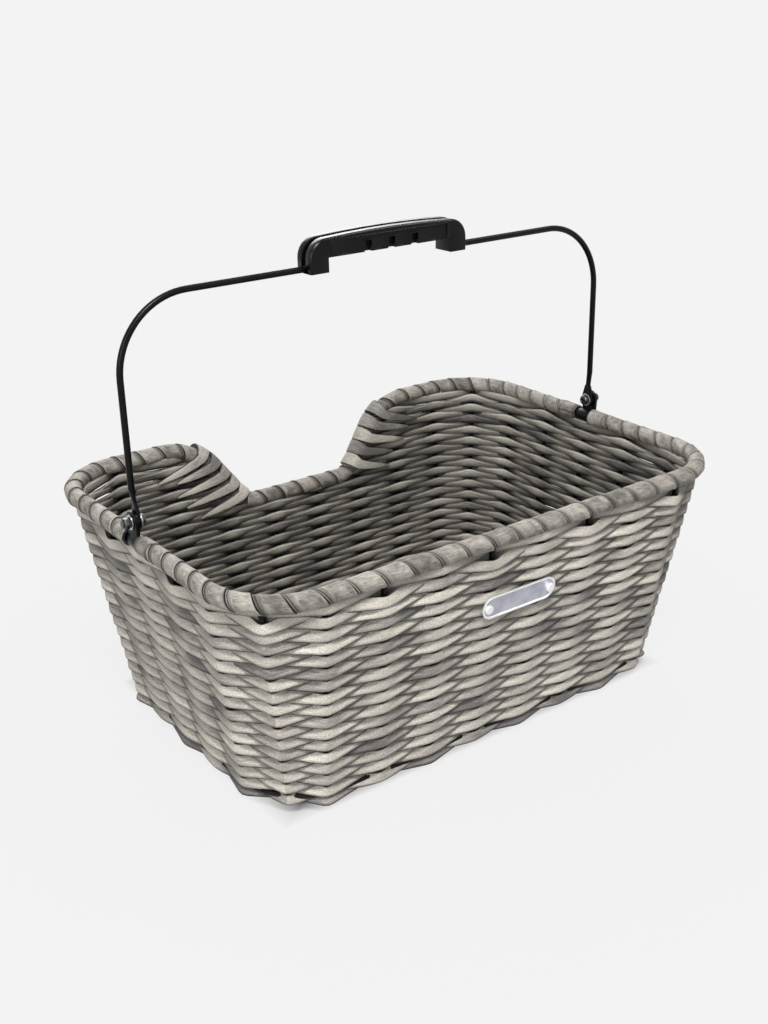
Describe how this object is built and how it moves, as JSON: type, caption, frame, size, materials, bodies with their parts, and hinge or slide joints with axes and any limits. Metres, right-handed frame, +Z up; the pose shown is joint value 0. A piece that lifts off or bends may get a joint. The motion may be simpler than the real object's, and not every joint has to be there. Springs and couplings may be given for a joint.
{
  "type": "rear bicycle basket",
  "caption": "Rounded rectangular woven basket on a steel frame, flared walls, saddle notch in the far rim, wound rim, swing-over wire handle with moulded grip, rack plate below.",
  "frame": {"origin": "on the underside of the rack plate, under the middle of the basket", "axes": "+X along the basket's length, -Y the side with the badge, +Y the side with the saddle notch, +Z up"},
  "size_m": [0.4406, 0.3091, 0.361],
  "materials": {
    "strand": "mottled warm grey woven resin strand, satin, lengthwise streaks",
    "rim_wrap": "grey-brown strand wound round the rim, streaked",
    "black_steel": "satin black powder coat",
    "black_plastic": "fine-grained black moulded plastic",
    "zinc_steel": "bright zinc plate",
    "badge_metal": "cast and polished border, matt pale field"
  },
  "bodies": {
    "basket": {"woven_wall": "strand", "woven_floor": "strand", "rim_wrap_near": "rim_wrap", "rim_wrap_far": "rim_wrap", "rim_ring": "black_steel", "foot_ring": "black_steel", "floor_grid": "black_steel", "stake_near_1": "black_steel", "stake_near_2": "black_steel", "stake_near_3": "black_steel", "stake_near_4": "black_steel", "stake_near_5": "black_steel", "stake_near_6": "black_steel", "stake_near_7": "black_steel", "stake_near_8": "black_steel", "stake_right_1": "black_steel", "stake_right_2": "black_steel", "stake_right_3": "black_steel", "stake_right_4": "black_steel", "stake_right_5": "black_steel", "stake_far_1": "black_steel", "stake_far_2": "black_steel", "stake_far_3": "black_steel", "stake_far_4": "black_steel", "stake_far_5": "black_steel", "stake_far_6": "black_steel", "stake_far_7": "black_steel", "stake_far_8": "black_steel", "stake_left_1": "black_steel", "stake_left_2": "black_steel", "stake_left_3": "black_steel", "stake_left_4": "black_steel", "stake_left_5": "black_steel", "stake_corner_1": "black_steel", "stake_corner_2": "black_steel", "stake_corner_3": "black_steel", "stake_corner_4": "black_steel", "hinge_bracket_left": "black_steel", "hinge_bracket_right": "black_steel", "clamp_strip_left": "black_steel", "clamp_strip_right": "black_steel", "pivot_bolt_left": "zinc_steel", "pivot_bolt_right": "zinc_steel", "inner_washer_left": "zinc_steel", "inner_washer_right": "zinc_steel", "outer_washer_left": "zinc_steel", "outer_washer_right": "zinc_steel", "pivot_nut_left": "zinc_steel", "pivot_nut_right": "zinc_steel", "rack_screw_1": "zinc_steel", "rack_screw_2": "zinc_steel", "rack_screw_3": "zinc_steel", "rack_screw_4": "zinc_steel", "badge_backing": "zinc_steel", "badge_plate": "badge_metal", "badge_rivet_1": "badge_metal", "badge_rivet_2": "badge_metal", "rack_plate": "black_plastic"},
    "handle": {"handle_wire": "black_steel", "handle_grip": "black_plastic"}
  },
  "joints": [
    {"name": "handle_swing", "type": "hinge", "parent": "basket", "child": "handle", "pos_m": [0, 0, 0.1895], "axis": [1, 0, 0], "range_deg": [-91.5, 89]}
  ]
}
